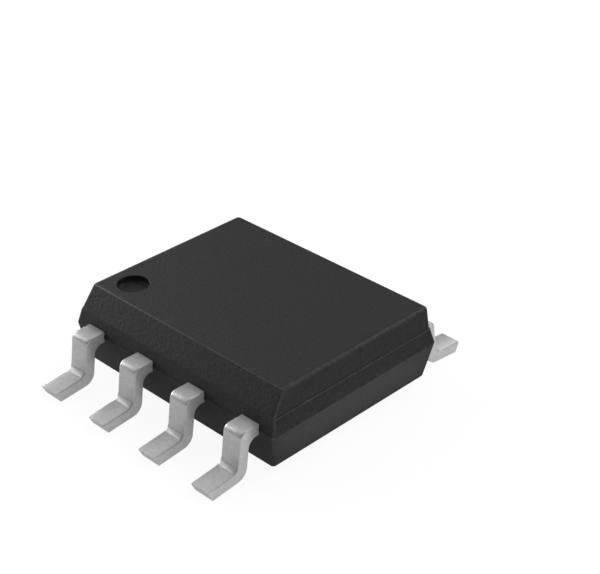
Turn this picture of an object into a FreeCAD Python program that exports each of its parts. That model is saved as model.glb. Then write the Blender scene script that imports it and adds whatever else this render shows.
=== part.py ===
import FreeCAD, Part

import math
import os

import Sketcher

# Eight-lead small-outline chip. X runs along the rows of leads, Y across the package and Z up.
# The origin is on the seating plane, under the middle of the package.
# The bevel and the mark beside lead 1 are on the front, towards -Y. Leads 1 to 4 are on the front
# from -X to +X, and leads 5 to 8 are on the back from +X to -X.

# Driving dimensions: name, value in millimetres or degrees, meaning.
SIZES = (
    ("body_length", "4.90", "package along X, at the parting line"),
    ("body_width", "3.90", "package along Y, at the parting line"),
    ("standoff", "0.13", "seating plane to the package underside"),
    ("lower_depth", "0.71", "underside to the parting line"),
    ("band_height", "0.285", "parting line to the foot of the bevel"),
    ("crown_height", "0.415", "foot of the bevel to the top"),
    ("lower_end_draft", "11.3", "lean of the end walls below the parting line"),
    ("lower_side_draft", "9.7", "lean of the long walls below the parting line"),
    ("band_end_draft", "11.5", "lean of the end walls between parting line and ledge"),
    ("band_side_draft", "13.8", "lean of the long walls between parting line and ledge"),
    ("crown_end_draft", "7.0", "lean of the end walls above the ledge"),
    ("crown_back_draft", "3.5", "lean of the back wall above the ledge"),
    ("ledge", "0.013", "step in the end and back walls at the foot of the bevel"),
    ("bevel_run", "0.26", "bevel along the front, measured in plan"),
    ("corner_radius", "0.06", "upright corners of the package"),
    ("top_radius", "0.04", "rounding round the top face"),
    ("underside_radius", "0.05", "rounding round the underside"),
    ("mark_diameter", "0.57", "moulded dimple beside lead 1"),
    ("mark_depth", "0.12", "depth of the dimple"),
    ("mark_draft", "8.0", "lean of the wall of the dimple"),
    ("mark_floor_radius", "0.09", "rounding round the floor of the dimple"),
    ("mark_end_inset", "0.65", "middle of the dimple from the widest line of the end"),
    ("mark_side_inset", "0.80", "middle of the dimple from the widest line of the front"),
    ("lead_pitch", "1.27", "lead to lead along a row"),
    ("lead_width", "0.41", "width of a lead outside the package"),
    ("strip_thickness", "0.20", "metal strip of the leads and the paddle, plating included"),
    ("lead_span", "6.09", "toe to toe across the package"),
    ("shoulder_reach", "0.365", "widest line of the package to the outer face of a lead at its shoulder"),
    ("shank_splay", "7.5", "lean of the upright part of a lead, foot outwards"),
    ("foot_angle", "5.5", "slope of a foot, toe lowest"),
    ("toe_undercut", "0.095", "slant of the cut at the toe"),
    ("shoulder_radius", "0.12", "outside of the upper bend"),
    ("armpit_radius", "0.17", "inside of the upper bend"),
    ("instep_radius", "0.16", "inside of the lower bend"),
    ("heel_radius", "0.22", "outside of the lower bend"),
    ("paddle_length", "3.00", "die paddle along X"),
    ("paddle_width", "2.10", "die paddle along Y"),
    ("paddle_downset", "0.15", "drop of the paddle below the plane of the leads"),
    ("paddle_corner", "0.12", "corner radius of the paddle"),
    ("tie_width", "0.36", "width of the bars that held the paddle in the strip"),
    ("tie_flat", "0.45", "length of a tie bar in the plane of the leads"),
    ("tie_cover", "0.12", "compound between a tie bar and the end wall"),
    ("lead_gap", "0.20", "paddle edge to the tip of a lead"),
    ("flag_depth", "0.30", "broad tip of a lead inside the package, along Y"),
    ("flag_width", "0.75", "broad tip of a lead inside the package, along X"),
    ("flag_shift", "0.20", "offset of a corner lead's tip towards the middle"),
    ("die_length", "1.60", "silicon along X"),
    ("die_width", "1.30", "silicon along Y"),
    ("die_thickness", "0.28", "silicon"),
    ("attach_thickness", "0.025", "epoxy under the silicon"),
    ("attach_margin", "0.06", "epoxy squeezed out round the silicon"),
    ("bond_inset", "0.10", "middle of a ball bond from the edge of the silicon"),
    ("ball_diameter", "0.09", "squashed ball at the silicon"),
    ("ball_height", "0.022", "height of the squashed ball"),
    ("wire_diameter", "0.033", "gold wire"),
    ("loop_height", "0.17", "centre line of a wire's level run above the silicon"),
    ("loop_flat", "0.30", "level run of a wire"),
    ("stitch_inset", "0.20", "tip of a lead to the lowest point of its wire"),
)

LEADS_PER_ROW = 4
PLACES = [index - (LEADS_PER_ROW - 1) / 2 for index in range(LEADS_PER_ROW)]
TOLERANCE = 1e-5

# Levels above the seating plane.
PARTING = "(sizes.standoff + sizes.lower_depth)"
BEVEL_FOOT = f"({PARTING} + sizes.band_height)"
BODY_TOP = f"({BEVEL_FOOT} + sizes.crown_height)"
STRIP_BOTTOM = f"({PARTING} - sizes.strip_thickness / 2)"
STRIP_TOP = f"({PARTING} + sizes.strip_thickness / 2)"
PADDLE_TOP = f"({STRIP_TOP} - sizes.paddle_downset)"
DIE_BOTTOM = f"({PADDLE_TOP} + sizes.attach_thickness)"
DIE_TOP = f"({DIE_BOTTOM} + sizes.die_thickness)"

# Distances from the middle of the package.
HALF_LENGTH = "(sizes.body_length / 2)"
HALF_WIDTH = "(sizes.body_width / 2)"
BAND_END = f"({HALF_LENGTH} - sizes.band_height * tan(sizes.band_end_draft))"
BAND_SIDE = f"({HALF_WIDTH} - sizes.band_height * tan(sizes.band_side_draft))"
LEAD_TIP = "(sizes.paddle_width / 2 + sizes.lead_gap)"
BOND_ROW = "(sizes.die_width / 2 - sizes.bond_inset)"
BOND_PITCH = f"((sizes.die_length - 2 * sizes.bond_inset) / {LEADS_PER_ROW - 1})"
STITCH_ROW = f"({LEAD_TIP} + sizes.stitch_inset)"

doc = FreeCAD.newDocument("chip")


def make_sheet():
    """Spreadsheet with the driving dimensions: name, value and meaning on each row."""
    sheet = doc.addObject("Spreadsheet::Sheet", "sizes")
    for row, (alias, number, meaning) in enumerate(SIZES, start=1):
        sheet.set(f"A{row}", alias)
        sheet.set(f"B{row}", number)
        sheet.set(f"C{row}", meaning)
        sheet.setAlias(f"B{row}", alias)
    doc.recompute()
    return sheet


def value(expression):
    """Number that an expression on the sheet gives now, for a sketch's first guess."""
    return float(sheet.evalExpression(expression))


def make_sketch(body, name, role, level="0"):
    """Empty sketch on one of the body's own origin planes, raised by level along its normal."""
    sketch = body.newObject("Sketcher::SketchObject", name)
    plane = [feature for feature in body.Origin.OriginFeatures if feature.Role == role][0]
    sketch.AttachmentSupport = [(plane, "")]
    sketch.MapMode = "FlatFace"
    sketch.setExpression("AttachmentOffset.Base.z", level)
    return sketch


def bind(sketch, kind, targets, expression):
    """Dimension in a sketch that follows an expression on the sheet, with angles in degrees there."""
    first = value(expression)
    if kind == "Angle":
        first = math.radians(first)
    index = sketch.addConstraint(Sketcher.Constraint(kind, *targets, first))
    sketch.setExpression(f"Constraints[{index}]", expression)


def place(sketch, geometry, point, axis, expression):
    """Fixes one coordinate of a sketch point from the origin, by an expression on the sheet."""
    bind(sketch, f"Distance{axis}", (geometry, point), expression)


def add_polygon(sketch, corners):
    """Closed polygon whose edge i runs from corner i to the next one."""
    vectors = [FreeCAD.Vector(*corner, 0) for corner in corners]
    for start, end in zip(vectors, vectors[1:] + vectors[:1]):
        sketch.addGeometry(Part.LineSegment(start, end))
    for index in range(len(corners)):
        following = (index + 1) % len(corners)
        sketch.addConstraint(Sketcher.Constraint("Coincident", index, 2, following, 1))


def add_rectangle(sketch, west, east, south, north):
    """Rectangle whose four sides follow expressions on the sheet."""
    x_low, x_high, y_low, y_high = (value(side) for side in (west, east, south, north))
    add_polygon(sketch, [(x_low, y_low), (x_high, y_low), (x_high, y_high), (x_low, y_high)])
    for index, direction in enumerate(("Horizontal", "Vertical", "Horizontal", "Vertical")):
        sketch.addConstraint(Sketcher.Constraint(direction, index))
    place(sketch, 0, 1, "X", west)
    place(sketch, 0, 1, "Y", south)
    place(sketch, 2, 1, "X", east)
    place(sketch, 2, 1, "Y", north)


def add_placed_polygon(sketch, corners):
    """Closed polygon whose corners follow pairs of expressions on the sheet."""
    add_polygon(sketch, [(value(x), value(y)) for x, y in corners])
    for index, (x, y) in enumerate(corners):
        place(sketch, index, 1, "X", x)
        place(sketch, index, 1, "Y", y)


def add_circle(sketch, diameter):
    """Circle round the sketch's origin whose size follows an expression on the sheet."""
    circle = sketch.addGeometry(Part.Circle(FreeCAD.Vector(), FreeCAD.Vector(0, 0, 1), value(diameter) / 2))
    bind(sketch, "Diameter", (circle,), diameter)
    sketch.addConstraint(Sketcher.Constraint("Coincident", circle, 3, -1, 1))


def add_rounded_rectangle(sketch, end, front, back, radius):
    """Rounded rectangle, symmetric about Y, with its front at -front and its back at back."""
    half, south, north, bend = value(end), -value(front), value(back), value(radius)
    straight = half - bend
    vector = FreeCAD.Vector
    sides = (
        (vector(-straight, south, 0), vector(straight, south, 0)),
        (vector(half, south + bend, 0), vector(half, north - bend, 0)),
        (vector(straight, north, 0), vector(-straight, north, 0)),
        (vector(-half, north - bend, 0), vector(-half, south + bend, 0)),
    )
    middles = (
        (straight, south + bend), (straight, north - bend),
        (-straight, north - bend), (-straight, south + bend),
    )
    for start, finish in sides:
        sketch.addGeometry(Part.LineSegment(start, finish))
    quarter = math.pi / 2
    for index, middle in enumerate(middles):
        circle = Part.Circle(vector(*middle, 0), vector(0, 0, 1), bend)
        sketch.addGeometry(Part.ArcOfCircle(circle, (index - 1) * quarter, index * quarter))
    for index, direction in enumerate(("Horizontal", "Vertical", "Horizontal", "Vertical")):
        arc = len(sides) + index
        following = (index + 1) % len(sides)
        sketch.addConstraint(Sketcher.Constraint("Tangent", index, 2, arc, 1))
        sketch.addConstraint(Sketcher.Constraint("Tangent", arc, 2, following, 1))
        sketch.addConstraint(Sketcher.Constraint(direction, index))
        bind(sketch, "Radius", (arc,), radius)
    place(sketch, 0, 1, "Y", f"-{front}")
    place(sketch, 1, 1, "X", end)
    place(sketch, 2, 1, "Y", back)
    place(sketch, 3, 1, "X", f"-{end}")


def make_pad(body, name, sketch, length, symmetric=False):
    """Pad along the sketch's normal, or half each way."""
    pad = body.newObject("PartDesign::Pad", name)
    pad.Profile = sketch
    pad.setExpression("Length", length)
    pad.Midplane = symmetric
    doc.recompute()
    return pad


def make_loft(body, name, lower, upper):
    """Straight-sided loft between two sections."""
    loft = body.newObject("PartDesign::AdditiveLoft", name)
    loft.Profile = lower
    loft.Sections = [upper]
    loft.Ruled = True
    doc.recompute()
    return loft


def round_edges(body, name, radius, chosen):
    """Fillet on the edges of the body's last feature that chosen picks."""
    base = body.Tip
    names = [f"Edge{index}" for index, edge in enumerate(base.Shape.Edges, start=1) if chosen(edge)]
    fillet = body.newObject("PartDesign::Fillet", name)
    fillet.Base = (base, names)
    fillet.setExpression("Radius", radius)
    doc.recompute()
    return fillet


def lies_at_level(edge, level):
    """True for an edge that lies flat at a height."""
    box = edge.BoundBox
    return abs(box.ZMin - level) < TOLERANCE and abs(box.ZMax - level) < TOLERANCE


def make_mold_blank():
    """Outside of the moulded package: lower half, band, bevelled crown, dimple and roundings."""
    body = doc.addObject("PartDesign::Body", "mold_blank")
    low_end = f"({HALF_LENGTH} - sizes.lower_depth * tan(sizes.lower_end_draft))"
    low_side = f"({HALF_WIDTH} - sizes.lower_depth * tan(sizes.lower_side_draft))"
    crown_end = f"({BAND_END} - sizes.ledge)"
    crown_back = f"({BAND_SIDE} - sizes.ledge)"
    top_end = f"({crown_end} - sizes.crown_height * tan(sizes.crown_end_draft))"
    top_back = f"({crown_back} - sizes.crown_height * tan(sizes.crown_back_draft))"
    top_front = f"({BAND_SIDE} - sizes.bevel_run)"
    sections = {}
    for name, level, end, front, back in (
        ("underside", "sizes.standoff", low_end, low_side, low_side),
        ("parting", PARTING, HALF_LENGTH, HALF_WIDTH, HALF_WIDTH),
        ("band_top", BEVEL_FOOT, BAND_END, BAND_SIDE, BAND_SIDE),
        ("crown_foot", BEVEL_FOOT, crown_end, BAND_SIDE, crown_back),
        ("top", BODY_TOP, top_end, top_front, top_back),
    ):
        sections[name] = make_sketch(body, f"{name}_section", "XY_Plane", level)
        add_rounded_rectangle(sections[name], end, front, back, "sizes.corner_radius")
    doc.recompute()
    make_loft(body, "lower_half", sections["underside"], sections["parting"])
    make_loft(body, "band", sections["parting"], sections["band_top"])
    make_loft(body, "crown", sections["crown_foot"], sections["top"])
    standoff, top = value("sizes.standoff"), value(BODY_TOP)
    round_edges(body, "underside_rounding", "sizes.underside_radius",
                lambda edge: lies_at_level(edge, standoff))
    round_edges(body, "top_rounding", "sizes.top_radius", lambda edge: lies_at_level(edge, top))
    cut_mark(body)
    return body


def cut_mark(body):
    """Dimple in the top face beside lead 1, with a drafted wall and a rounded floor."""
    sketch = make_sketch(body, "mark_profile", "XZ_Plane", f"{HALF_WIDTH} - sizes.mark_side_inset")
    sketch.setExpression("AttachmentOffset.Base.x", f"-({HALF_LENGTH} - sizes.mark_end_inset)")
    floor = f"({BODY_TOP} - sizes.mark_depth)"
    rim = "(sizes.mark_diameter / 2)"
    add_placed_polygon(sketch, [
        ("0", floor), (f"{rim} - sizes.mark_depth * tan(sizes.mark_draft)", floor),
        (rim, BODY_TOP), ("0", BODY_TOP),
    ])
    doc.recompute()
    before = body.Shape.Volume
    mark = body.newObject("PartDesign::Groove", "mark")
    mark.Profile = sketch
    mark.ReferenceAxis = (sketch, ["V_Axis"])
    mark.Angle = 360
    doc.recompute()
    if not body.Shape.Volume < before:
        raise RuntimeError("the dimple cuts nothing")
    level = value(floor)
    round_edges(body, "mark_floor_rounding", "sizes.mark_floor_radius",
                lambda edge: lies_at_level(edge, level))


def lead_profile(sketch):
    """Gull-wing side view with sharp bends, drawn outwards along Y and up along Z."""
    thick = value("sizes.strip_thickness")
    splay, slope = value("sizes.shank_splay"), value("sizes.foot_angle")
    tangent = {angle: value(f"tan({angle})") for angle in (splay, slope)}
    cosine = {angle: value(f"cos({angle})") for angle in (splay, slope)}
    strip_top, strip_bottom = value(STRIP_TOP), value(STRIP_BOTTOM)
    shoulder = value(f"{HALF_WIDTH} + sizes.shoulder_reach")
    toe = value("sizes.lead_span / 2")
    heel_side_toe = toe - value("sizes.toe_undercut")

    def sole_to_top(shift, lift):
        """Meeting point of a shank line moved inwards by shift and a sole line raised by lift."""
        start = shoulder - shift
        # shank: y = start + (strip_top - z) * tan(splay); foot: z = lift + (toe - y) * tan(slope)
        rise, run = tangent[slope], tangent[splay]
        y = (start + (strip_top - lift - heel_side_toe * rise) * run) / (1 - rise * run)
        return y, lift + (heel_side_toe - y) * rise

    instep = sole_to_top(0, thick / cosine[slope])
    heel = sole_to_top(thick / cosine[splay], 0)
    toe_top = thick / cosine[slope] + (heel_side_toe - toe) * tangent[slope]
    armpit = shoulder - thick / cosine[splay] + (strip_top - strip_bottom) * tangent[splay]
    tip = value(LEAD_TIP)
    add_polygon(sketch, [
        (tip, strip_bottom), (armpit, strip_bottom), heel, (heel_side_toe, 0),
        (toe, toe_top), instep, (shoulder, strip_top), (tip, strip_top),
    ])
    underarm, shank_back, sole, toe_cut, foot_top, shank_front, strip_face, tip_face = range(8)
    for line in (underarm, strip_face):
        sketch.addConstraint(Sketcher.Constraint("Horizontal", line))
    sketch.addConstraint(Sketcher.Constraint("Vertical", tip_face))
    sketch.addConstraint(Sketcher.Constraint("Parallel", shank_back, shank_front))
    sketch.addConstraint(Sketcher.Constraint("Parallel", sole, foot_top))
    place(sketch, underarm, 1, "X", LEAD_TIP)
    place(sketch, underarm, 1, "Y", STRIP_BOTTOM)
    place(sketch, strip_face, 1, "Y", STRIP_TOP)
    place(sketch, strip_face, 1, "X", f"{HALF_WIDTH} + sizes.shoulder_reach")
    place(sketch, foot_top, 1, "X", "sizes.lead_span / 2")
    place(sketch, sole, 2, "X", "sizes.lead_span / 2 - sizes.toe_undercut")
    place(sketch, sole, 2, "Y", "0")
    bind(sketch, "Angle", (shank_front, strip_face), "90 - sizes.shank_splay")
    bind(sketch, "Angle", (foot_top, strip_face), "sizes.foot_angle")
    bind(sketch, "Distance", (shank_front, 2, shank_back), "sizes.strip_thickness")
    bind(sketch, "Distance", (foot_top, 2, sole), "sizes.strip_thickness")
    return {"armpit": (armpit, strip_bottom), "heel": heel, "instep": instep,
            "shoulder": (shoulder, strip_top)}


def tip_offset(place_in_row):
    """Offset of a lead's broad tip, which lies nearer the middle of the row on the end leads."""
    if abs(place_in_row) < max(PLACES):
        return "0"
    return "sizes.flag_shift" if place_in_row > 0 else "-sizes.flag_shift"


def make_lead(number, place_in_row, turn):
    """Lead with its broad tip inside the package, its shank and its foot, in one piece of strip."""
    body = doc.addObject("PartDesign::Body", f"lead_{number}")
    profile = make_sketch(body, f"lead_{number}_profile", "YZ_Plane")
    bends = lead_profile(profile)
    doc.recompute()
    make_pad(body, f"lead_{number}_strip", profile, "sizes.lead_width", symmetric=True)
    offset = tip_offset(place_in_row)
    flag = make_sketch(body, f"lead_{number}_tip_outline", "XY_Plane", STRIP_BOTTOM)
    add_rectangle(flag, f"{offset} - sizes.flag_width / 2", f"{offset} + sizes.flag_width / 2",
                  LEAD_TIP, f"{LEAD_TIP} + sizes.flag_depth")
    doc.recompute()
    make_pad(body, f"lead_{number}_tip", flag, "sizes.strip_thickness")
    for name, (out, up) in bends.items():
        round_edges(body, f"lead_{number}_{name}", f"sizes.{name}_radius",
                    lambda edge: lies_along_x(edge, out, up))
    side = 1 if turn == 0 else -1
    body.Placement = FreeCAD.Placement(FreeCAD.Vector(), FreeCAD.Rotation(FreeCAD.Vector(0, 0, 1), turn))
    body.setExpression("Placement.Base.x", f"{-side * place_in_row} * sizes.lead_pitch")
    return body


def lies_along_x(edge, out, up):
    """True for an edge that runs along X through a point of the side view."""
    box = edge.BoundBox
    return (box.XLength > TOLERANCE and box.YLength < TOLERANCE and box.ZLength < TOLERANCE
            and abs(box.YMin - out) < TOLERANCE and abs(box.ZMin - up) < TOLERANCE)


def make_paddle():
    """Die paddle, set down below the leads, with a tie bar bent up at each end."""
    body = doc.addObject("PartDesign::Body", "die_pad")
    outline = make_sketch(body, "paddle_outline", "XY_Plane", f"{PADDLE_TOP} - sizes.strip_thickness")
    add_rounded_rectangle(outline, "(sizes.paddle_length / 2)", "(sizes.paddle_width / 2)",
                          "(sizes.paddle_width / 2)", "sizes.paddle_corner")
    doc.recompute()
    make_pad(body, "paddle", outline, "sizes.strip_thickness")
    profile = make_sketch(body, "tie_bar_profile", "XZ_Plane")
    end = f"{HALF_LENGTH} - sizes.tie_cover"
    bend = f"{end} - sizes.tie_flat"
    foot = "sizes.paddle_length / 2"
    stations = (("-", end, STRIP_BOTTOM), ("-", bend, STRIP_BOTTOM), ("-", foot, "low"),
                ("", foot, "low"), ("", bend, STRIP_BOTTOM), ("", end, STRIP_BOTTOM))
    low = f"({PADDLE_TOP} - sizes.strip_thickness)"
    lower = [(f"{sign}({x})", low if z == "low" else z) for sign, x, z in stations]
    upper = [(x, f"{z} + sizes.strip_thickness") for x, z in reversed(lower)]
    add_placed_polygon(profile, lower + upper)
    doc.recompute()
    make_pad(body, "tie_bars", profile, "sizes.tie_width", symmetric=True)
    return body


def make_slab(name, length, width, height, level):
    """Plain block, centred on the package, with its underside at a level."""
    slab = doc.addObject("Part::Box", name)
    slab.setExpression("Length", length)
    slab.setExpression("Width", width)
    slab.setExpression("Height", height)
    slab.setExpression("Placement.Base.x", f"-({length}) / 2")
    slab.setExpression("Placement.Base.y", f"-({width}) / 2")
    slab.setExpression("Placement.Base.z", level)
    return slab


def wire_path(sketch, run, drop):
    """Centre line of a wire: straight up, level over the silicon's edge, then down to the lead."""
    points = [("0", "0"), ("0", "sizes.loop_height"), ("sizes.loop_flat", "sizes.loop_height"),
              (run, f"-({drop})")]
    vectors = [FreeCAD.Vector(value(x), value(y), 0) for x, y in points]
    for index, (x, y) in enumerate(points[1:]):
        sketch.addGeometry(Part.LineSegment(vectors[index], vectors[index + 1]))
        place(sketch, index, 2, "X", x)
        place(sketch, index, 2, "Y", y)
    sketch.addConstraint(Sketcher.Constraint("Coincident", 0, 1, -1, 1))
    for index in range(len(points) - 2):
        sketch.addConstraint(Sketcher.Constraint("Coincident", index, 2, index + 1, 1))


def make_wire(number, place_in_row, turn):
    """Gold wire from a squashed ball on the silicon to a lead, cut flush where it is stitched down."""
    body = doc.addObject("PartDesign::Body", f"bond_wire_{number}")
    start_x = f"({-place_in_row} * {BOND_PITCH})"
    across = f"({-place_in_row} * sizes.lead_pitch + {tip_offset(place_in_row)} - {start_x})"
    outwards = f"({STITCH_ROW} - {BOND_ROW})"
    run = f"sqrt(pow({across}; 2) + pow({outwards}; 2))"
    fall = f"{DIE_TOP} - {STRIP_TOP}"
    path = make_sketch(body, f"wire_{number}_path", "XZ_Plane")
    wire_path(path, run, f"{fall} + sizes.wire_diameter")
    section = make_sketch(body, f"wire_{number}_section", "XY_Plane")
    add_circle(section, "sizes.wire_diameter")
    ball = make_sketch(body, f"wire_{number}_ball_outline", "XY_Plane")
    add_circle(ball, "sizes.ball_diameter")
    doc.recompute()
    make_pad(body, f"wire_{number}_ball", ball, "sizes.ball_height")
    pipe = body.newObject("PartDesign::AdditivePipe", f"wire_{number}_loop")
    pipe.Profile = section
    pipe.Spine = path
    pipe.Transition = "Right corner"
    doc.recompute()
    trim_stitch(body, number, run, fall)
    side = 1 if turn == 0 else -1
    body.Placement = FreeCAD.Placement(FreeCAD.Vector(), FreeCAD.Rotation(FreeCAD.Vector(0, 0, 1), turn))
    body.setExpression("Placement.Base.x", f"{side} * {start_x}")
    body.setExpression("Placement.Base.y", f"{side} * {BOND_ROW}")
    body.setExpression("Placement.Base.z", DIE_TOP)
    body.setExpression("Placement.Rotation.Angle", f"atan2({outwards}; {across}) + {turn} deg")
    return body


def trim_stitch(body, number, run, fall):
    """Cuts away what reaches below the top face of the lead."""
    sketch = make_sketch(body, f"wire_{number}_trim", "XY_Plane", f"-({fall})")
    add_rectangle(sketch, f"{run} / 2", f"{run} + 2 * sizes.ball_diameter",
                  "-sizes.ball_diameter", "sizes.ball_diameter")
    doc.recompute()
    before = body.Shape.Volume
    trim = body.newObject("PartDesign::Pocket", f"wire_{number}_stitch")
    trim.Profile = sketch
    trim.setExpression("Length", "4 * sizes.wire_diameter")
    doc.recompute()
    if not body.Shape.Volume < before:
        raise RuntimeError(f"wire {number} isn't cut flush")


def make_package(blank, inner):
    """Moulded package, moulded round everything that it holds."""
    filling = doc.addObject("Part::MultiFuse", "held_inside")
    filling.Shapes = inner
    package = doc.addObject("Part::Cut", "mold_body")
    package.Base = blank
    package.Tool = filling
    return package


def check_document():
    """Stops if any object failed to compute."""
    for item in doc.Objects:
        bad = {"Invalid", "Error"} & set(item.State)
        if bad:
            raise RuntimeError(f"{item.Name}: {item.State}")


def export(nodes):
    """Checks every sub-part and writes it to a file with its label's name."""
    for node in nodes:
        shape = node.Shape
        if shape.isNull() or not shape.isValid():
            raise RuntimeError(f"{node.Label}: no valid shape")
        if len(shape.Solids) != 1:
            raise RuntimeError(f"{node.Label}: {len(shape.Solids)} solids")
    os.makedirs("parts", exist_ok=True)
    for node in nodes:
        node.Shape.exportStep(f"parts/{node.Label}.step")
        print(f"{node.Label}: {node.Shape.Volume:.5f} cubic mm")


sheet = make_sheet()
blank = make_mold_blank()
leads = []
wires = []
for turn, first in ((180, 1), (0, 1 + LEADS_PER_ROW)):
    for index, place_in_row in enumerate(PLACES):
        leads.append(make_lead(first + index, place_in_row, turn))
        wires.append(make_wire(first + index, place_in_row, turn))
paddle = make_paddle()
attach = make_slab("die_attach", "sizes.die_length + 2 * sizes.attach_margin",
                   "sizes.die_width + 2 * sizes.attach_margin", "sizes.attach_thickness", PADDLE_TOP)
die = make_slab("die", "sizes.die_length", "sizes.die_width", "sizes.die_thickness", DIE_BOTTOM)
held = leads + [paddle, attach, die] + wires
doc.recompute()
package = make_package(blank, held)
doc.recompute()
check_document()
export([package] + held)
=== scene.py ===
import math

import bmesh
import bpy
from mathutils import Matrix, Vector


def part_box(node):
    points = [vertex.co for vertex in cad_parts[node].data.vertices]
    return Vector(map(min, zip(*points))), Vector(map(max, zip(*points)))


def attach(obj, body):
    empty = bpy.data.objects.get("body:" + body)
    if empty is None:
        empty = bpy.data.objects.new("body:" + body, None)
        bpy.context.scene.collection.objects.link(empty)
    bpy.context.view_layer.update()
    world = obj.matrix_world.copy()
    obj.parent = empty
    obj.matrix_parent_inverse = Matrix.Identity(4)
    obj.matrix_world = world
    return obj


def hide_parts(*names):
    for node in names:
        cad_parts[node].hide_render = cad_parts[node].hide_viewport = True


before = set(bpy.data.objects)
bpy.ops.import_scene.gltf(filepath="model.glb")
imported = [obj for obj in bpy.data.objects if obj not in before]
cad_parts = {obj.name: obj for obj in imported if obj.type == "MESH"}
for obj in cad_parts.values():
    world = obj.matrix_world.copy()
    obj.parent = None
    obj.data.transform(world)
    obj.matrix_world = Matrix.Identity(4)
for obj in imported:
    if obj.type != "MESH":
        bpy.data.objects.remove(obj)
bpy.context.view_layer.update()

# Sizes below are in millimetres and angles in degrees. Meshes are scaled by MM into metres.
MM = 0.001
BODY = "root"

# Package: the outer sizes come from the frame, the rest are its moulded profile. The band is the part of its
# walls between the parting line and the bevel's foot or the ledge, and the crown is the part above that.
BODY_LOW, BODY_HIGH = (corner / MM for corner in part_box("mold_body"))
UNDERSIDE = BODY_LOW.z
TOP = BODY_HIGH.z
PARTING = 0.84
BEVEL_FOOT = 1.125
HALF_LENGTH = BODY_HIGH.x
HALF_WIDTH = BODY_HIGH.y
LOWER_END_DRAFT = 11.3
LOWER_SIDE_DRAFT = 9.7
BAND_END_DRAFT = 11.5
BAND_SIDE_DRAFT = 13.8
CROWN_END_DRAFT = 7.0
CROWN_BACK_DRAFT = 3.5
LEDGE = 0.013
BEVEL_RUN = 0.26
CORNER_RADIUS = 0.06
UNDERSIDE_RADIUS = 0.05
PARTING_RADIUS = 0.012
LEDGE_RADIUS = 0.012
LEDGE_ROOT_RADIUS = 0.002
TOP_RADIUS = 0.04
TOP_END_RADIUS = 0.07

# The bevel's foot is cut off this far above and below, and flat rims this wide keep the top's shading even.
BEVEL_FOOT_HALF = 0.012
CAP_MARGIN = 0.12

# Dimple beside lead 1.
MARK_X = -HALF_LENGTH + 0.65
MARK_Y = -HALF_WIDTH + 0.80
MARK_RADIUS = 0.29
MARK_DEPTH = 0.12
MARK_DRAFT = 8.0
MARK_RIM_RADIUS = 0.006
MARK_RIM_RING = 2 * MARK_RIM_RADIUS
MARK_FLOOR_RADIUS = 0.05
MARK_FLOOR_MIDDLE = MARK_RADIUS / 4

# Leads: a side view drawn outwards from the middle of the package.
LEADS_PER_ROW = 4
LEAD_NUMBERS = range(1, 2 * LEADS_PER_ROW + 1)
PITCH = 1.27
LEAD_WIDTH = 0.41
STRIP = 0.20
STRIP_TOP = PARTING + STRIP / 2
STRIP_BOTTOM = PARTING - STRIP / 2
TOE = -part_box("lead_1")[0].y / MM
LEAD_TIP = -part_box("lead_1")[1].y / MM
SHOULDER = HALF_WIDTH + 0.365
SHANK_SPLAY = 7.5
FOOT_ANGLE = 5.5
TOE_UNDERCUT = 0.095
SHOULDER_RADIUS = 0.12
ARMPIT_RADIUS = 0.17
INSTEP_RADIUS = 0.16
HEEL_RADIUS = 0.22
UPPER_EDGE_RADIUS = 0.030
LOWER_EDGE_RADIUS = 0.012
TOE_RADIUS = 0.006
SOLE_EDGE_RADIUS = 0.02

# One face closes the toe's sheared end between these shares of its height, counted downwards.
CUT_HIGH = 0.50
CUT_LOW = 0.85

# Flag: the broad tip of a lead inside the package, and how many of the lead's stations are as broad.
FLAG_WIDTH = 0.75
FLAG_DEPTH = 0.30
FLAG_SHIFT = 0.20
FLAG_BLEND = 0.02
FLAG_STATIONS = 2

# Fineness of the meshes, and the angle between faces above which an edge is shaded sharp.
ARC_STEPS = 8
BEND_STEPS = 16
EDGE_STEPS = 4
RIM_STEPS = 96
SMOOTH_ANGLE = 40

# Edges painted lighter, as painted highlights. The wall profiles' corners are numbered from 0 at the
# underside.
# The bias moves the brightest painted line of a top edge towards the top face.
LEDGE_CORNERS = (2, 3)
TOP_CORNER = 4
LEDGE_PAINTED_HIGHLIGHT = 0.6
TOP_PAINTED_HIGHLIGHT = 0.36
TOP_PAINTED_HIGHLIGHT_BIAS = 1.6
BEVEL_TOP_PAINTED_HIGHLIGHT = 0.04

# Upright corners painted lighter, as painted highlights: a value for each corner of a profile, and the last
# one for both its ends.
UPRIGHT_PAINTED_HIGHLIGHT = (0, 0.40, 0.50, 0.50, 0.55, 0)

# The bevel's side lies in front of two diagonals that meet this far behind the package's middle.
BEVEL_SIDE = 0.5

# Noise: its middle half is stretched over the range of what it drives. The painted highlights vary down to
# their least share.
NOISE_LOW = 0.25
NOISE_HIGH = 0.75
LEAST_PAINTED_HIGHLIGHT = 0.4

# Plastic: sizes and relief of its texture, greys from dark to light, the grey of its painted highlights, and
# roughness.
PLASTIC_GRAIN = 0.055
PLASTIC_GRAIN_RELIEF = 0.0078
PLASTIC_SPECKS = 0.012
PLASTIC_SPECKS_RELIEF = 0.0008
PLASTIC_CLOUDS = 0.35
PLASTIC_GREYS = (0, 0.014)
PLASTIC_HIGHLIGHT_GREY = 0.12
PLASTIC_ROUGHNESS = (0.64, 0.66)

# Tin: the same, with rolling lines that are longer along the strip than across it.
TIN_GRAIN = 0.016
TIN_GRAIN_RELIEF = 0.0007
TIN_LINES = 0.014
TIN_LINES_RELIEF = 0.0006
TIN_LINES_SQUEEZE = 0.04
TIN_CLOUDS = 0.08
TIN_GREYS = (0.53, 0.73)
TIN_METALLIC = 0.5
TIN_ROUGHNESS = (0.32, 0.40)

# Metals inside: the sizes of their grain. The clouds' size and the relief are multiples of the grain's size,
# and the roughness varies up and down by a share of itself.
PADDLE_GRAIN = 0.02
WIRE_GRAIN = 0.005
METAL_CLOUDS = 4
METAL_RELIEF = 0.04
METAL_ROUGHNESS_SPREAD = 0.2

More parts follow.
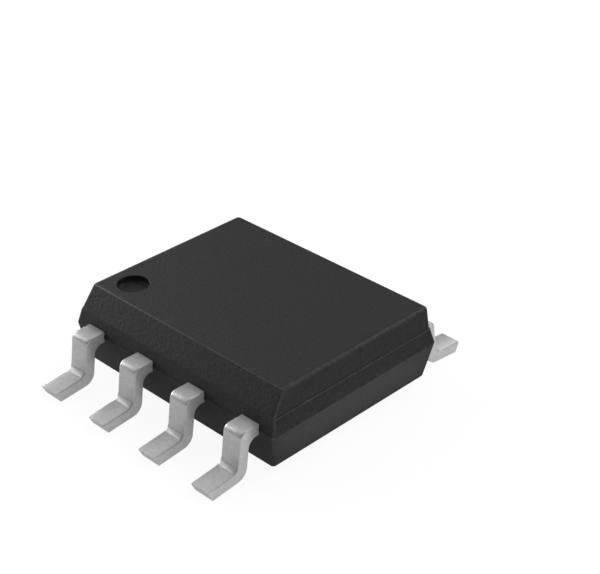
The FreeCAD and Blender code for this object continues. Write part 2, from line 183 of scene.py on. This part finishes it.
# Epoxy and silicon inside: the flakes' size and relief, and the grinding marks, which are longer one way.
EPOXY_FLAKES = 0.010
EPOXY_FLAKES_RELIEF = 0.001
SILICON_MARKS = 0.02
SILICON_MARKS_SQUEEZE = 0.1
SILICON_ROUGHNESS = (0.15, 0.3)

# Floor: its shade and its own glow, for the chip's sake and as the camera sees it.
FLOOR_RADIUS = 600
FLOOR_SIDES = 64
FLOOR_SHADE = 0.40
FLOOR_GLOW = 0.372
FLOOR_SEEN_SHADE = 0.12
FLOOR_SEEN_GLOW = 0.92

# Surroundings beyond the floor, as the chip sees them.
SKY_BRIGHTNESS = 0

# Glowing card that lies on the floor beside the end wall.
CARD_BRIGHTNESS = 0.62
CARD_WIDTH = 0.8
CARD_LENGTH = 3.4
CARD_PLACE = (HALF_LENGTH + 0.5, 0.3, 0.02)

# Softboxes round the chip.
SOFTBOX_DISTANCE = 60

# View of the photograph.
CAMERA_PLACE = (15.877, -15.041, 14.779)
CAMERA_AZIMUTH = 44.4812
CAMERA_ELEVATION = 30.8244
CAMERA_LENS = 89.95
SENSOR_WIDTH = 36
NEAREST_SEEN = 1
FARTHEST_SEEN = 2000


def towards(azimuth, elevation):
    """Unit vector from the chip towards a viewer. Azimuth 0 is in front of the bevel, 90 beyond +X."""
    turn = math.radians(azimuth)
    rise = math.radians(elevation)
    return Vector((math.sin(turn) * math.cos(rise), -math.cos(turn) * math.cos(rise), math.sin(rise)))


def slope(degrees):
    """Tangent of an angle in degrees."""
    return math.tan(math.radians(degrees))


def midway(low, high):
    """The value midway between two."""
    return (low + high) / 2


def grey(level):
    """Neutral colour of a level."""
    return (level, level, level)


def round_corner(before, corner, after, radius, steps):
    """Points of the arc that rounds one corner of a flat outline."""
    to_before = (before - corner).normalized()
    to_after = (after - corner).normalized()
    half = to_before.angle(to_after) / 2
    reach = radius / math.tan(half)
    middle = corner + (to_before + to_after).normalized() * (radius / math.sin(half))
    start = corner + to_before * reach - middle
    end = corner + to_after * reach - middle
    turn = start.angle(end)
    points = []
    for step in range(steps + 1):
        share = step / steps
        near = math.sin((1 - share) * turn) / math.sin(turn)
        far = math.sin(share * turn) / math.sin(turn)
        points.append(middle + start * near + end * far)
    return points


def round_outline(corners, radii, steps):
    """Open outline with each inner corner rounded, with the same number of points for each."""
    corners = [Vector(corner) for corner in corners]
    points = [corners[0]]
    for before, corner, after, radius in zip(corners, corners[1:], corners[2:], radii):
        points += round_corner(before, corner, after, radius, steps)
    return points + [corners[-1]]


def add_loop(mesh, points):
    """Vertices of one closed loop, from points in millimetres."""
    return [mesh.verts.new(Vector(point) * MM) for point in points]


def bridge(mesh, first, second):
    """Quads between two closed loops with as many vertices."""
    for index in range(len(first)):
        following = (index + 1) % len(first)
        mesh.faces.new((first[index], first[following], second[following], second[index]))


def finish_mesh(mesh, name):
    """Object with smooth shading from a bmesh, with sharp edges kept where faces meet steeply."""
    bmesh.ops.recalc_face_normals(mesh, faces=mesh.faces)
    for face in mesh.faces:
        face.smooth = True
    data = bpy.data.meshes.new(name)
    mesh.to_mesh(data)
    mesh.free()
    data.set_sharp_from_angle(angle=math.radians(SMOOTH_ANGLE))
    piece = bpy.data.objects.new(name, data)
    bpy.context.scene.collection.objects.link(piece)
    normals = piece.modifiers.new("flat_faces_stay_flat", "WEIGHTED_NORMAL")
    normals.keep_sharp = True
    return piece


def package_profiles():
    """Wall profiles of the end, front and back, as points of distance from the middle and height."""
    depth = PARTING - UNDERSIDE
    band = BEVEL_FOOT - PARTING
    crown = TOP - BEVEL_FOOT
    low_end = HALF_LENGTH - depth * slope(LOWER_END_DRAFT)
    low_side = HALF_WIDTH - depth * slope(LOWER_SIDE_DRAFT)
    band_end = HALF_LENGTH - band * slope(BAND_END_DRAFT)
    band_side = HALF_WIDTH - band * slope(BAND_SIDE_DRAFT)
    crown_end = band_end - LEDGE
    crown_back = band_side - LEDGE
    top_end = crown_end - crown * slope(CROWN_END_DRAFT)
    top_back = crown_back - crown * slope(CROWN_BACK_DRAFT)
    top_front = band_side - BEVEL_RUN
    below = BEVEL_FOOT_HALF * slope(BAND_SIDE_DRAFT)
    above = BEVEL_FOOT_HALF * BEVEL_RUN / crown
    walls = (
        (low_end, HALF_LENGTH, (band_end, BEVEL_FOOT), (crown_end, BEVEL_FOOT), top_end, TOP_END_RADIUS),
        (low_side, HALF_WIDTH, (band_side + below, BEVEL_FOOT - BEVEL_FOOT_HALF),
         (band_side - above, BEVEL_FOOT + BEVEL_FOOT_HALF), top_front, TOP_RADIUS),
        (low_side, HALF_WIDTH, (band_side, BEVEL_FOOT), (crown_back, BEVEL_FOOT), top_back, TOP_RADIUS),
    )
    profiles = []
    for low, widest, ledge_edge, ledge_root, high, top_radius in walls:
        radii = (UNDERSIDE_RADIUS, PARTING_RADIUS, LEDGE_RADIUS, LEDGE_ROOT_RADIUS, top_radius)
        corners = (
            (low - CAP_MARGIN, UNDERSIDE), (low, UNDERSIDE), (widest, PARTING),
            ledge_edge, ledge_root, (high, TOP), (high - CAP_MARGIN, TOP),
        )
        profiles.append(round_outline(corners, radii, ARC_STEPS))
    return profiles


def package_loop(end, front, back):
    """One loop round the package through a point of each wall profile, with rounded corners."""
    quarters = (
        (1, -1, front, end, -90), (1, 1, end, back, 0), (-1, 1, back, end, 90), (-1, -1, end, front, 180),
    )
    points = []
    for sign_x, sign_y, first, second, start in quarters:
        side = front if sign_y < 0 else back
        middle = Vector((sign_x * (end.x - CORNER_RADIUS), sign_y * (side.x - CORNER_RADIUS)))
        for step in range(ARC_STEPS + 1):
            share = step / ARC_STEPS
            angle = math.radians(start + 90 * share)
            height = first.y + (second.y - first.y) * share
            points.append((
                middle.x + CORNER_RADIUS * math.cos(angle),
                middle.y + CORNER_RADIUS * math.sin(angle),
                height,
            ))
    return points


def mark_loops():
    """Loops of the dimple, from a narrow flat ring round its rim, for even shading, to its floor."""
    wall = MARK_DEPTH * slope(MARK_DRAFT)
    corners = (
        (MARK_RADIUS + MARK_RIM_RING, TOP), (MARK_RADIUS, TOP),
        (MARK_RADIUS - wall, TOP - MARK_DEPTH), (MARK_FLOOR_MIDDLE, TOP - MARK_DEPTH),
    )
    outline = round_outline(corners, (MARK_RIM_RADIUS, MARK_FLOOR_RADIUS), ARC_STEPS)
    angles = [2 * math.pi * step / RIM_STEPS for step in range(RIM_STEPS)]
    loops = []
    for point in outline:
        loops.append([
            (MARK_X + point.x * math.cos(angle), MARK_Y + point.x * math.sin(angle), point.y)
            for angle in angles
        ])
    return loops


def loop_edges(mesh, loop):
    """Edges along a closed loop of vertices, made where they are missing."""
    edges = []
    for first, second in zip(loop, loop[1:] + loop[:1]):
        edge = mesh.edges.get((first, second))
        edges.append(edge or mesh.edges.new((first, second)))
    return edges


def painted_highlight_share(corner, step, turn, on_bevel_side):
    """How much painted highlight a point of the package gets, by its place on the wall profile and round the
    corner.
    """
    at_wall = (corner, step) in ((LEDGE_CORNERS[0], 0), (LEDGE_CORNERS[1], ARC_STEPS))
    if corner == TOP_CORNER and on_bevel_side:
        share = BEVEL_TOP_PAINTED_HIGHLIGHT * math.sin(math.pi * step / ARC_STEPS)
    elif corner == TOP_CORNER:
        share = TOP_PAINTED_HIGHLIGHT * math.sqrt(math.sin(math.pi * (step / ARC_STEPS) ** TOP_PAINTED_HIGHLIGHT_BIAS))
    elif corner in LEDGE_CORNERS and not on_bevel_side and not at_wall:
        share = LEDGE_PAINTED_HIGHLIGHT
    else:
        share = 0
    upright = UPRIGHT_PAINTED_HIGHLIGHT[corner] * math.sin(math.pi * turn)
    if corner == TOP_CORNER:
        upright *= 1 - step / ARC_STEPS
    return max(share, upright)


def make_package():
    """Moulded package with drafted walls, ledge, bevel, dimple and rounded edges."""
    mesh = bmesh.new()
    # This attribute marks where lighter grey is painted on the ledge, top and upright edges as painted
    # highlights.
    painted_highlight = mesh.verts.layers.float.new("painted_highlight")
    loops = []
    for station, points in enumerate(zip(*package_profiles())):
        loop = add_loop(mesh, package_loop(*points))
        corner, step = divmod(station - 1, ARC_STEPS + 1)
        for place, vertex in enumerate(loop):
            turn = place % (ARC_STEPS + 1) / ARC_STEPS
            on_bevel_side = vertex.co.y < -abs(vertex.co.x) + BEVEL_SIDE * MM
            vertex[painted_highlight] = painted_highlight_share(corner, step, turn, on_bevel_side)
        loops.append(loop)
    for first, second in zip(loops, loops[1:]):
        bridge(mesh, first, second)
    mesh.faces.new(loops[0])
    dimple = [add_loop(mesh, points) for points in mark_loops()]
    for first, second in zip(dimple, dimple[1:]):
        bridge(mesh, first, second)
    mesh.faces.new(dimple[-1])
    rims = loop_edges(mesh, loops[-1]) + loop_edges(mesh, dimple[0])
    bmesh.ops.triangle_fill(mesh, edges=rims, use_beauty=True)
    return finish_mesh(mesh, "package")


def lead_outline():
    """Matching points along the upper and the lower face of a lead, as pairs of distance and height."""
    splay = slope(SHANK_SPLAY)
    rise = slope(FOOT_ANGLE)
    shank_shift = STRIP / math.cos(math.radians(SHANK_SPLAY))
    foot_lift = STRIP / math.cos(math.radians(FOOT_ANGLE))
    sole_end = TOE - TOE_UNDERCUT
    sole_corner = Vector((sole_end, 0))
    toe_top = Vector((TOE, foot_lift - TOE_UNDERCUT * rise))

    def crossing(start, lift):
        """Where a line of the shank that leaves the strip's top at start meets a line of the foot."""
        out = (start + (STRIP_TOP - lift - sole_end * rise) * splay) / (1 - rise * splay)
        return out, lift + (sole_end - out) * rise

    instep = crossing(SHOULDER, foot_lift)
    heel = crossing(SHOULDER - shank_shift, 0)
    armpit = (SHOULDER - shank_shift + STRIP * splay, STRIP_BOTTOM)
    cut_high = toe_top.lerp(sole_corner, CUT_HIGH)
    cut_low = toe_top.lerp(sole_corner, CUT_LOW)
    flag_end = LEAD_TIP + FLAG_DEPTH
    upper = ((flag_end, STRIP_TOP), (SHOULDER, STRIP_TOP), instep, toe_top, cut_high)
    lower = ((flag_end, STRIP_BOTTOM), armpit, heel, sole_corner, cut_low)
    upper_radii = (SHOULDER_RADIUS, INSTEP_RADIUS, TOE_RADIUS)
    lower_radii = (ARMPIT_RADIUS, HEEL_RADIUS, SOLE_EDGE_RADIUS)
    pairs = [
        (Vector((out, STRIP_TOP)), Vector((out, STRIP_BOTTOM)))
        for out in (LEAD_TIP, flag_end, flag_end + FLAG_BLEND)
    ]
    upper_points = round_outline(upper, upper_radii, BEND_STEPS)[1:]
    lower_points = round_outline(lower, lower_radii, BEND_STEPS)[1:]
    return pairs + list(zip(upper_points, lower_points))


def lead_section(west, east):
    """Rounded section of the strip between two sideways places, as pairs of sideways place and depth."""
    upper = UPPER_EDGE_RADIUS
    lower = LOWER_EDGE_RADIUS
    middles = (
        (east - upper, upper, upper), (east - lower, STRIP - lower, lower),
        (west + lower, STRIP - lower, lower), (west + upper, upper, upper),
    )
    points = []
    for quarter, (sideways, depth, radius) in enumerate(middles):
        for step in range(EDGE_STEPS + 1):
            angle = math.radians(90 * (quarter + step / EDGE_STEPS))
            points.append((sideways + radius * math.sin(angle), depth - radius * math.cos(angle)))
    return points


def lead_layout(number):
    """The side a lead faces, its place along its row and the shift of its broad tip."""
    row, index = divmod(number - 1, LEADS_PER_ROW)
    facing = -1 if row == 0 else 1
    place = (index - (LEADS_PER_ROW - 1) / 2) * PITCH
    if index == 0:
        shift = FLAG_SHIFT
    elif index == LEADS_PER_ROW - 1:
        shift = -FLAG_SHIFT
    else:
        shift = 0
    return facing, place, shift


def make_lead(number):
    """One gull-wing lead from its broad tip inside the package to its toe, with rounded long edges."""
    facing, place, shift = lead_layout(number)
    mesh = bmesh.new()
    along = mesh.verts.layers.float_vector.new("strip")
    loops = []
    travelled = 0
    previous = None
    for station, (upper, lower) in enumerate(lead_outline()):
        middle = (upper + lower) / 2
        if previous is not None:
            travelled += (middle - previous).length
        previous = middle
        if station < FLAG_STATIONS:
            section = lead_section(shift - FLAG_WIDTH / 2, shift + FLAG_WIDTH / 2)
        else:
            section = lead_section(-LEAD_WIDTH / 2, LEAD_WIDTH / 2)
        points = []
        for sideways, depth in section:
            point = upper + (lower - upper) * (depth / STRIP)
            points.append((-facing * (place + sideways), facing * point.x, point.y))
        loop = add_loop(mesh, points)
        for vertex, (sideways, depth) in zip(loop, section):
            vertex[along] = (sideways + number * PITCH, travelled, depth)
        loops.append(loop)
    for first, second in zip(loops, loops[1:]):
        bridge(mesh, first, second)
    mesh.faces.new(loops[0])
    mesh.faces.new(loops[-1])
    return finish_mesh(mesh, f"tinned_lead_{number}")


def new_material(name, color, metallic, roughness):
    """Material with a principled shader whose even values are set on its own sockets."""
    material = bpy.data.materials.new(name)
    material.use_nodes = True
    shader = material.node_tree.nodes["Principled BSDF"]
    shader.inputs["Base Color"].default_value = (*color, 1)
    shader.inputs["Metallic"].default_value = metallic
    shader.inputs["Roughness"].default_value = roughness
    return material, shader


def add_node(material, kind, **inputs):
    """Node of a kind with values set on its named inputs."""
    node = material.node_tree.nodes.new(kind)
    for name, value in inputs.items():
        node.inputs[name.replace("_", " ")].default_value = value
    return node


def join(material, source, target):
    """Link from an output socket to an input socket."""
    material.node_tree.links.new(source, target)


def add_noise(material, vector, grain, detail=2, roughness=0.5):
    """Noise whose grain is a size in metres, on a vector output in metres."""
    noise = add_node(material, "ShaderNodeTexNoise", Scale=1 / grain, Detail=detail, Roughness=roughness)
    join(material, vector, noise.inputs["Vector"])
    return noise.outputs["Fac"]


def add_range(material, source, low, high):
    """A noise's middle half stretched between two values."""
    ends = {"From_Min": NOISE_LOW, "From_Max": NOISE_HIGH, "To_Min": low, "To_Max": high}
    node = add_node(material, "ShaderNodeMapRange", **ends)
    join(material, source, node.inputs["Value"])
    return node.outputs["Result"]


def add_colors(material, source, low, high):
    """Colour between two colours by the source."""
    mix = material.node_tree.nodes.new("ShaderNodeMix")
    mix.data_type = "RGBA"
    mix.inputs["A"].default_value = (*low, 1)
    mix.inputs["B"].default_value = (*high, 1)
    join(material, add_range(material, source, 0, 1), mix.inputs["Factor"])
    return mix.outputs["Result"]


def add_relief(material, shader, layers):
    """Bump made of heights in metres, given as pairs of a noise and its height."""
    normal = None
    for source, height in layers:
        bump = add_node(material, "ShaderNodeBump", Strength=1, Distance=height)
        join(material, source, bump.inputs["Height"])
        if normal is not None:
            join(material, normal, bump.inputs["Normal"])
        normal = bump.outputs["Normal"]
    join(material, normal, shader.inputs["Normal"])


def add_painted_highlight(material, color, name, unevenness, highlight_grey):
    """Colour that turns to the painted highlight grey where the mesh's named attribute is 1, unevenly."""
    attribute = material.node_tree.nodes.new("ShaderNodeAttribute")
    attribute.attribute_name = name
    share = material.node_tree.nodes.new("ShaderNodeMath")
    share.operation = "MULTIPLY"
    join(material, attribute.outputs["Fac"], share.inputs[0])
    join(material, add_range(material, unevenness, LEAST_PAINTED_HIGHLIGHT, 1), share.inputs[1])
    mix = material.node_tree.nodes.new("ShaderNodeMix")
    mix.data_type = "RGBA"
    mix.inputs["B"].default_value = (*highlight_grey, 1)
    join(material, share.outputs["Value"], mix.inputs["Factor"])
    join(material, color, mix.inputs["A"])
    return mix.outputs["Result"]


def object_vector(material):
    """The object's own coordinates, in metres."""
    return material.node_tree.nodes.new("ShaderNodeTexCoord").outputs["Object"]


def scaled_vector(material, source, scale):
    """A vector with each of its parts scaled."""
    node = material.node_tree.nodes.new("ShaderNodeVectorMath")
    node.operation = "MULTIPLY"
    node.inputs[1].default_value = scale
    join(material, source, node.inputs[0])
    return node.outputs["Vector"]


def mold_compound():
    """Black epoxy with the fine sparked texture of its mould, and painted highlights along its edges."""
    dark, light = PLASTIC_GREYS
    smooth, rough = PLASTIC_ROUGHNESS
    plain = grey(midway(dark, light))
    material, shader = new_material("mold_compound", plain, metallic=0, roughness=midway(smooth, rough))
    place = object_vector(material)
    grain = add_noise(material, place, PLASTIC_GRAIN * MM, roughness=0.6)
    clouds = add_noise(material, place, PLASTIC_CLOUDS * MM)
    specks = add_noise(material, place, PLASTIC_SPECKS * MM, detail=1)
    color = add_colors(material, grain, grey(dark), grey(light))
    # Painted highlights: lighter grey on the ledge, top and upright edges, uneven with the grain.
    color = add_painted_highlight(material, color, "painted_highlight", grain, grey(PLASTIC_HIGHLIGHT_GREY))
    join(material, color, shader.inputs["Base Color"])
    join(material, add_range(material, clouds, smooth, rough), shader.inputs["Roughness"])
    relief = ((grain, PLASTIC_GRAIN_RELIEF * MM), (specks, PLASTIC_SPECKS_RELIEF * MM))
    add_relief(material, shader, relief)
    return material


def tin_plate():
    """Matte tin on the leads: fine grain, and faint rolling lines along the strip."""
    dark, light = TIN_GREYS
    smooth, rough = TIN_ROUGHNESS
    plain = grey(midway(dark, light))
    material, shader = new_material("tin_plate", plain, TIN_METALLIC, midway(smooth, rough))
    attribute = material.node_tree.nodes.new("ShaderNodeAttribute")
    attribute.attribute_name = "strip"
    place = scaled_vector(material, attribute.outputs["Vector"], (MM, MM, MM))
    squeezed = scaled_vector(material, place, (1, TIN_LINES_SQUEEZE, 1))
    grain = add_noise(material, place, TIN_GRAIN * MM, detail=3)
    lines = add_noise(material, squeezed, TIN_LINES * MM)
    clouds = add_noise(material, place, TIN_CLOUDS * MM, detail=4, roughness=0.8)
    color = add_colors(material, clouds, grey(dark), grey(light))
    join(material, color, shader.inputs["Base Color"])
    join(material, add_range(material, grain, smooth, rough), shader.inputs["Roughness"])
    add_relief(material, shader, ((grain, TIN_GRAIN_RELIEF * MM), (lines, TIN_LINES_RELIEF * MM)))
    return material


def plain_metal(name, dark, light, roughness, grain):
    """Metal with a cloudy colour and a fine grain, whose size is in metres."""
    material, shader = new_material(name, light, metallic=1, roughness=roughness)
    place = object_vector(material)
    clouds = add_noise(material, place, grain * METAL_CLOUDS)
    fine = add_noise(material, place, grain, detail=3)
    smooth = roughness * (1 - METAL_ROUGHNESS_SPREAD)
    rough = roughness * (1 + METAL_ROUGHNESS_SPREAD)
    join(material, add_colors(material, clouds, dark, light), shader.inputs["Base Color"])
    join(material, add_range(material, fine, smooth, rough), shader.inputs["Roughness"])
    add_relief(material, shader, ((fine, grain * METAL_RELIEF),))
    return material


def silver_epoxy():
    """Grey silver-filled epoxy under the silicon."""
    material, shader = new_material("silver_epoxy", (0.35, 0.35, 0.34), metallic=0.4, roughness=0.6)
    place = object_vector(material)
    flakes = add_noise(material, place, EPOXY_FLAKES * MM)
    color = add_colors(material, flakes, grey(0.22), (0.50, 0.50, 0.48))
    join(material, color, shader.inputs["Base Color"])
    add_relief(material, shader, ((flakes, EPOXY_FLAKES_RELIEF * MM),))
    return material


def silicon():
    """Sawn and ground silicon, dark and smooth."""
    material, shader = new_material("silicon", (0.10, 0.11, 0.13), metallic=0.6, roughness=0.2)
    place = object_vector(material)
    squeezed = scaled_vector(material, place, (1, SILICON_MARKS_SQUEEZE, 1))
    marks = add_noise(material, squeezed, SILICON_MARKS * MM)
    color = add_colors(material, marks, (0.08, 0.09, 0.11), (0.13, 0.14, 0.16))
    join(material, color, shader.inputs["Base Color"])
    join(material, add_range(material, marks, *SILICON_ROUGHNESS), shader.inputs["Roughness"])
    return material


def dress(piece, material):
    """Gives a piece its only material and the record's slot for it."""
    piece.data.materials.clear()
    piece.data.materials.append(material)


def place_package():
    """The package in place of its plain solid."""
    package = make_package()
    dress(package, mold_compound())
    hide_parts("mold_body")
    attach(package, BODY)


def place_leads():
    """The leads in place of their plain solids."""
    tin = tin_plate()
    for number in LEAD_NUMBERS:
        lead = make_lead(number)
        dress(lead, tin)
        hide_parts(f"lead_{number}")
        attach(lead, BODY)


def dress_inside():
    """Materials for the solids inside the package."""
    copper_colors = ((0.62, 0.36, 0.24), (0.80, 0.50, 0.36))
    gold_colors = ((0.90, 0.62, 0.24), (1.0, 0.76, 0.34))
    copper = plain_metal("paddle_metal", *copper_colors, roughness=0.3, grain=PADDLE_GRAIN * MM)
    gold = plain_metal("bond_gold", *gold_colors, roughness=0.2, grain=WIRE_GRAIN * MM)
    dress(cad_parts["die_pad"], copper)
    dress(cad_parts["die_attach"], silver_epoxy())
    dress(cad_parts["die"], silicon())
    for number in LEAD_NUMBERS:
        dress(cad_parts[f"bond_wire_{number}"], gold)


def make_floor():
    """Large pale floor. The camera sees it nearly white, and the chip sees it as light grey."""
    bpy.ops.mesh.primitive_circle_add(vertices=FLOOR_SIDES, radius=FLOOR_RADIUS * MM, fill_type="NGON")
    floor = bpy.context.object
    floor.name = "floor"
    material, reflected = new_material("pale_floor", grey(FLOOR_SHADE), metallic=0, roughness=1)
    nodes = material.node_tree.nodes
    seen = nodes.new("ShaderNodeBsdfPrincipled")
    looks = ((reflected, FLOOR_SHADE, FLOOR_GLOW), (seen, FLOOR_SEEN_SHADE, FLOOR_SEEN_GLOW))
    for shader, shade, glow in looks:
        shader.inputs["Base Color"].default_value = (*grey(shade), 1)
        shader.inputs["Roughness"].default_value = 1
        shader.inputs["Specular IOR Level"].default_value = 0
        shader.inputs["Emission Color"].default_value = (1, 1, 1, 1)
        shader.inputs["Emission Strength"].default_value = glow
    path = nodes.new("ShaderNodeLightPath")
    mix = nodes.new("ShaderNodeMixShader")
    output = nodes["Material Output"]
    join(material, path.outputs["Is Camera Ray"], mix.inputs["Fac"])
    join(material, reflected.outputs["BSDF"], mix.inputs[1])
    join(material, seen.outputs["BSDF"], mix.inputs[2])
    join(material, mix.outputs["Shader"], output.inputs["Surface"])
    floor.data.materials.append(material)


def make_world():
    """Dark surroundings that the camera sees as white."""
    world = bpy.data.worlds.new("studio")
    world.use_nodes = True
    nodes = world.node_tree.nodes
    nodes.clear()
    dark = nodes.new("ShaderNodeBackground")
    dark.inputs["Strength"].default_value = SKY_BRIGHTNESS
    white = nodes.new("ShaderNodeBackground")
    white.inputs["Color"].default_value = (1, 1, 1, 1)
    path = nodes.new("ShaderNodeLightPath")
    mix = nodes.new("ShaderNodeMixShader")
    output = nodes.new("ShaderNodeOutputWorld")
    join(world, path.outputs["Is Camera Ray"], mix.inputs["Fac"])
    join(world, dark.outputs["Background"], mix.inputs[1])
    join(world, white.outputs["Background"], mix.inputs[2])
    join(world, mix.outputs["Shader"], output.inputs["Surface"])
    bpy.context.scene.world = world


def add_area_light(name, width, height, brightness):
    """Rectangular light, as bright as the number says in the reflections that show it."""
    data = bpy.data.lights.new(name, "AREA")
    data.shape = "RECTANGLE"
    data.size = width * MM
    data.size_y = height * MM
    data.energy = brightness * math.pi * data.size * data.size_y
    light = bpy.data.objects.new(name, data)
    bpy.context.scene.collection.objects.link(light)
    return light


def add_softbox(name, azimuth, elevation, width, height, brightness):
    """Softbox that faces the chip."""
    light = add_area_light(name, width, height, brightness)
    direction = towards(azimuth, elevation)
    light.location = direction * SOFTBOX_DISTANCE * MM
    light.rotation_mode = "QUATERNION"
    light.rotation_quaternion = direction.to_track_quat("Z", "Y")
    return light


def add_flagged_softbox(name, **setting):
    """Softbox that is hidden from reflections and lights matte surfaces alone."""
    light = add_softbox(f"{name}_flagged", **setting)
    light.visible_glossy = False


def add_floor_card():
    """Glowing card on the floor along the end wall nearest the camera, which the camera doesn't see."""
    light = add_area_light("floor_card", CARD_WIDTH, CARD_LENGTH, CARD_BRIGHTNESS)
    light.location = Vector(CARD_PLACE) * MM
    light.rotation_euler = (math.pi, 0, 0)
    light.visible_camera = False


def light_studio():
    """Softboxes round the chip, some of them flagged, and a card beside its end wall."""
    add_softbox("left_low", azimuth=270, elevation=8, width=46, height=17, brightness=14.3)
    add_softbox("left", azimuth=270, elevation=24, width=46, height=17, brightness=1.47)
    add_softbox("left_high", azimuth=270, elevation=56, width=46, height=17, brightness=0.60)
    add_softbox("front_left", azimuth=315, elevation=24, width=46, height=17, brightness=0.96)
    add_softbox("front_left_high", azimuth=300, elevation=44, width=20, height=17, brightness=2.45)
    add_softbox("right_back_high", azimuth=140, elevation=38, width=30, height=20, brightness=0.70)
    add_softbox("back_high", azimuth=168, elevation=50, width=30, height=20, brightness=4.63)
    add_softbox("back_left", azimuth=200, elevation=30, width=20, height=17, brightness=1.58)
    add_softbox("back_left_high", azimuth=225, elevation=48, width=46, height=33, brightness=0.56)
    add_softbox("above", azimuth=0, elevation=89.9, width=50, height=50, brightness=0.59)
    add_flagged_softbox("right", azimuth=90, elevation=16, width=46, height=33, brightness=2.33)
    add_flagged_softbox("right_high", azimuth=90, elevation=48, width=36, height=33, brightness=0.49)
    add_flagged_softbox("right_low", azimuth=115, elevation=12, width=26, height=22, brightness=2.19)
    add_flagged_softbox("right_back", azimuth=135, elevation=48, width=36, height=33, brightness=0.55)
    add_floor_card()


def make_camera():
    """Camera at the photograph's place and angle."""
    data = bpy.data.cameras.new("photo_view")
    data.lens = CAMERA_LENS
    data.sensor_width = SENSOR_WIDTH
    data.clip_start = NEAREST_SEEN * MM
    data.clip_end = FARTHEST_SEEN * MM
    camera = bpy.data.objects.new("photo_view", data)
    camera.location = Vector(CAMERA_PLACE) * MM
    camera.rotation_mode = "QUATERNION"
    camera.rotation_quaternion = towards(CAMERA_AZIMUTH, CAMERA_ELEVATION).to_track_quat("Z", "Y")
    bpy.context.scene.collection.objects.link(camera)
    bpy.context.scene.camera = camera


place_package()
place_leads()
dress_inside()
make_floor()
make_world()
light_studio()
make_camera()
bpy.context.scene.view_settings.view_transform = "Standard"
